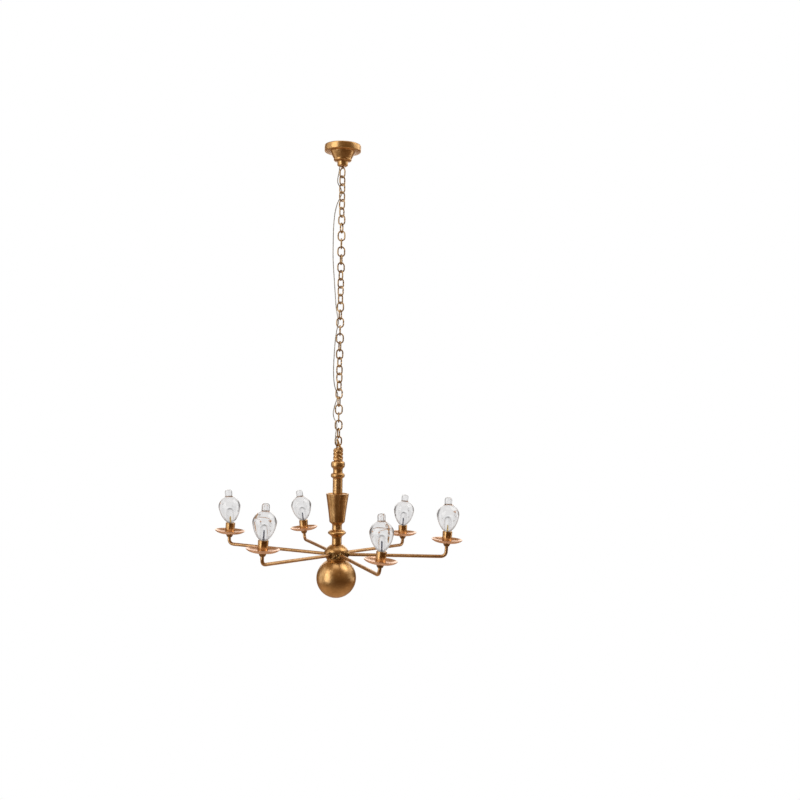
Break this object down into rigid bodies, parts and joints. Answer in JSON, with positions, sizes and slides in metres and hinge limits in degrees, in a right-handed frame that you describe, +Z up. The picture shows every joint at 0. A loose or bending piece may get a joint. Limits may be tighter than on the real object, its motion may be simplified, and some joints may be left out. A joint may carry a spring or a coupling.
{
  "type": "miniature chandelier",
  "caption": "Dolls' house chandelier in antique brass: a round canopy, a link chain, a turned stem over a ball, and bent arms that carry drip pans and clear globes.",
  "frame": {"origin": "centre of the canopy's flat top, where it is glued to a ceiling", "axes": "+Z up along the chain, +Y away from the front, +X to the right"},
  "size_m": [0.0738, 0.0735, 0.135],
  "materials": {
    "antique_brass": "satin, antiqued",
    "arm_brass": "satin, darkened",
    "copper_brass": "satin, coppery",
    "chain_brass": "bright, tarnished",
    "feed_wire": "tinned, dull",
    "clear_acrylic": "clear, polished"
  },
  "bodies": {
    "canopy": {"canopy": "antique_brass", "canopy_eye": "chain_brass", "feed_wire": "feed_wire"},
    "chain_link_01": {"chain_link_01": "chain_brass"},
    "chain_link_02": {"chain_link_02": "chain_brass"},
    "chain_link_03": {"chain_link_03": "chain_brass"},
    "chain_link_04": {"chain_link_04": "chain_brass"},
    "chain_link_05": {"chain_link_05": "chain_brass"},
    "chain_link_06": {"chain_link_06": "chain_brass"},
    "chain_link_07": {"chain_link_07": "chain_brass"},
    "chain_link_08": {"chain_link_08": "chain_brass"},
    "chain_link_09": {"chain_link_09": "chain_brass"},
    "chain_link_10": {"chain_link_10": "chain_brass"},
    "chain_link_11": {"chain_link_11": "chain_brass"},
    "chain_link_12": {"chain_link_12": "chain_brass"},
    "chain_link_13": {"chain_link_13": "chain_brass"},
    "chain_link_14": {"chain_link_14": "chain_brass"},
    "chain_link_15": {"chain_link_15": "chain_brass"},
    "chain_link_16": {"chain_link_16": "chain_brass"},
    "chain_link_17": {"chain_link_17": "chain_brass"},
    "chain_link_18": {"chain_link_18": "chain_brass"},
    "chain_link_19": {"chain_link_19": "chain_brass"},
    "chain_link_20": {"chain_link_20": "chain_brass"},
    "chain_link_21": {"chain_link_21": "chain_brass"},
    "chain_link_22": {"chain_link_22": "chain_brass"},
    "chain_link_23": {"chain_link_23": "chain_brass"},
    "chain_link_24": {"chain_link_24": "chain_brass"},
    "chain_link_25": {"chain_link_25": "chain_brass"},
    "chain_link_26": {"chain_link_26": "chain_brass"},
    "chain_link_27": {"chain_link_27": "chain_brass"},
    "chain_link_28": {"chain_link_28": "chain_brass"},
    "chain_link_29": {"chain_link_29": "chain_brass"},
    "chain_link_30": {"chain_link_30": "chain_brass"},
    "chain_link_31": {"chain_link_31": "chain_brass"},
    "chain_link_32": {"chain_link_32": "chain_brass"},
    "chain_link_33": {"chain_link_33": "chain_brass"},
    "chain_link_34": {"chain_link_34": "chain_brass"},
    "fixture": {"stem_eye": "antique_brass", "stem_column": "antique_brass", "baluster": "antique_brass", "arm_hub": "antique_brass", "ball_finial": "antique_brass", "arm_1": "arm_brass", "candle_cup_1": "copper_brass", "globe_1": "clear_acrylic", "arm_2": "arm_brass", "candle_cup_2": "copper_brass", "globe_2": "clear_acrylic", "arm_3": "arm_brass", "candle_cup_3": "copper_brass", "globe_3": "clear_acrylic", "arm_4": "arm_brass", "candle_cup_4": "copper_brass", "globe_4": "clear_acrylic", "arm_5": "arm_brass", "candle_cup_5": "copper_brass", "globe_5": "clear_acrylic", "arm_6": "arm_brass", "candle_cup_6": "copper_brass", "globe_6": "clear_acrylic"}
  },
  "joints": [
    {"name": "swing_01", "type": "hinge", "parent": "canopy", "child": "chain_link_01", "pos_m": [0, 0, -0.00963], "axis": [0.7071, -0.7071, 0], "range_deg": [-45, 45]},
    {"name": "swing_02", "type": "hinge", "parent": "chain_link_01", "child": "chain_link_02", "pos_m": [0, 0, -0.01199], "axis": [0.7071, 0.7071, 0], "range_deg": [-45, 45]},
    {"name": "swing_03", "type": "hinge", "parent": "chain_link_02", "child": "chain_link_03", "pos_m": [0, 0, -0.01434], "axis": [-0.7071, 0.7071, 0], "range_deg": [-45, 45]},
    {"name": "swing_04", "type": "hinge", "parent": "chain_link_03", "child": "chain_link_04", "pos_m": [0, 0, -0.0167], "axis": [-0.7071, -0.7071, 0], "range_deg": [-45, 45]},
    {"name": "swing_05", "type": "hinge", "parent": "chain_link_04", "child": "chain_link_05", "pos_m": [0, 0, -0.01905], "axis": [0.7071, -0.7071, 0], "range_deg": [-45, 45]},
    {"name": "swing_06", "type": "hinge", "parent": "chain_link_05", "child": "chain_link_06", "pos_m": [0, 0, -0.02141], "axis": [0.5972, 0.8021, 0], "range_deg": [-45, 45]},
    {"name": "swing_07", "type": "hinge", "parent": "chain_link_06", "child": "chain_link_07", "pos_m": [0, 0, -0.02376], "axis": [-0.8801, 0.4747, 0], "range_deg": [-45, 45]},
    {"name": "swing_08", "type": "hinge", "parent": "chain_link_07", "child": "chain_link_08", "pos_m": [0, 0, -0.02612], "axis": [-0.3422, -0.9396, 0], "range_deg": [-45, 45]},
    {"name": "swing_09", "type": "hinge", "parent": "chain_link_08", "child": "chain_link_09", "pos_m": [0, 0, -0.02847], "axis": [0.9793, -0.2024, 0], "range_deg": [-45, 45]},
    {"name": "swing_10", "type": "hinge", "parent": "chain_link_09", "child": "chain_link_10", "pos_m": [0, 0, -0.03083], "axis": [0.0584, 0.9983, 0], "range_deg": [-45, 45]},
    {"name": "swing_11", "type": "hinge", "parent": "chain_link_10", "child": "chain_link_11", "pos_m": [0, 0, -0.03318], "axis": [-0.9962, -0.0868, 0], "range_deg": [-45, 45]},
    {"name": "swing_12", "type": "hinge", "parent": "chain_link_11", "child": "chain_link_12", "pos_m": [0, 0, -0.03554], "axis": [0.2302, -0.9731, 0], "range_deg": [-45, 45]},
    {"name": "swing_13", "type": "hinge", "parent": "chain_link_12", "child": "chain_link_13", "pos_m": [0, 0, -0.03789], "axis": [0.9295, 0.3688, 0], "range_deg": [-45, 45]},
    {"name": "swing_14", "type": "hinge", "parent": "chain_link_13", "child": "chain_link_14", "pos_m": [0, 0, -0.04025], "axis": [-0.4995, 0.8663, 0], "range_deg": [-45, 45]},
    {"name": "swing_15", "type": "hinge", "parent": "chain_link_14", "child": "chain_link_15", "pos_m": [0, 0, -0.0426], "axis": [-0.7848, -0.6198, 0], "range_deg": [-45, 45]},
    {"name": "swing_16", "type": "hinge", "parent": "chain_link_15", "child": "chain_link_16", "pos_m": [0, 0, -0.04496], "axis": [0.7269, -0.6867, 0], "range_deg": [-45, 45]},
    {"name": "swing_17", "type": "hinge", "parent": "chain_link_16", "child": "chain_link_17", "pos_m": [0, 0, -0.04731], "axis": [0.5741, 0.8188, 0], "range_deg": [-45, 45]},
    {"name": "swing_18", "type": "hinge", "parent": "chain_link_17", "child": "chain_link_18", "pos_m": [0, 0, -0.04967], "axis": [-0.8933, 0.4495, 0], "range_deg": [-45, 45]},
    {"name": "swing_19", "type": "hinge", "parent": "chain_link_18", "child": "chain_link_19", "pos_m": [0, 0, -0.05202], "axis": [-0.3153, -0.949, 0], "range_deg": [-45, 45]},
    {"name": "swing_20", "type": "hinge", "parent": "chain_link_19", "child": "chain_link_20", "pos_m": [0, 0, -0.05438], "axis": [0.9847, -0.1745, 0], "range_deg": [-45, 45]},
    {"name": "swing_21", "type": "hinge", "parent": "chain_link_20", "child": "chain_link_21", "pos_m": [0, 0, -0.05673], "axis": [0.03, 0.9995, 0], "range_deg": [-45, 45]},
    {"name": "swing_22", "type": "hinge", "parent": "chain_link_21", "child": "chain_link_22", "pos_m": [0, 0, -0.05909], "axis": [-0.9934, -0.1151, 0], "range_deg": [-45, 45]},
    {"name": "swing_23", "type": "hinge", "parent": "chain_link_22", "child": "chain_link_23", "pos_m": [0, 0, -0.06144], "axis": [0.2578, -0.9662, 0], "range_deg": [-45, 45]},
    {"name": "swing_24", "type": "hinge", "parent": "chain_link_23", "child": "chain_link_24", "pos_m": [0, 0, -0.0638], "axis": [0.9187, 0.3951, 0], "range_deg": [-45, 45]},
    {"name": "swing_25", "type": "hinge", "parent": "chain_link_24", "child": "chain_link_25", "pos_m": [0, 0, -0.06615], "axis": [-0.524, 0.8517, 0], "range_deg": [-45, 45]},
    {"name": "swing_26", "type": "hinge", "parent": "chain_link_25", "child": "chain_link_26", "pos_m": [0, 0, -0.06851], "axis": [-0.7668, -0.6419, 0], "range_deg": [-45, 45]},
    {"name": "swing_27", "type": "hinge", "parent": "chain_link_26", "child": "chain_link_27", "pos_m": [0, 0, -0.07086], "axis": [0.7462, -0.6658, 0], "range_deg": [-45, 45]},
    {"name": "swing_28", "type": "hinge", "parent": "chain_link_27", "child": "chain_link_28", "pos_m": [0, 0, -0.07322], "axis": [0.5506, 0.8348, 0], "range_deg": [-45, 45]},
    {"name": "swing_29", "type": "hinge", "parent": "chain_link_28", "child": "chain_link_29", "pos_m": [0, 0, -0.07557], "axis": [-0.9057, 0.4239, 0], "range_deg": [-45, 45]},
    {"name": "swing_30", "type": "hinge", "parent": "chain_link_29", "child": "chain_link_30", "pos_m": [0, 0, -0.07793], "axis": [-0.2882, -0.9576, 0], "range_deg": [-45, 45]},
    {"name": "swing_31", "type": "hinge", "parent": "chain_link_30", "child": "chain_link_31", "pos_m": [0, 0, -0.08028], "axis": [0.9892, -0.1464, 0], "range_deg": [-45, 45]},
    {"name": "swing_32", "type": "hinge", "parent": "chain_link_31", "child": "chain_link_32", "pos_m": [0, 0, -0.08264], "axis": [0.0016, 1, 0], "range_deg": [-45, 45]},
    {"name": "swing_33", "type": "hinge", "parent": "chain_link_32", "child": "chain_link_33", "pos_m": [0, 0, -0.08499], "axis": [-0.9897, -0.1433, 0], "range_deg": [-45, 45]},
    {"name": "swing_34", "type": "hinge", "parent": "chain_link_33", "child": "chain_link_34", "pos_m": [0, 0, -0.08735], "axis": [0.2852, -0.9585, 0], "range_deg": [-45, 45]},
    {"name": "fixture_swing", "type": "hinge", "parent": "chain_link_34", "child": "fixture", "pos_m": [0, 0, -0.0897], "axis": [0.907, 0.421, 0], "range_deg": [-45, 45], "deforming": ["feed_wire"]}
  ]
}
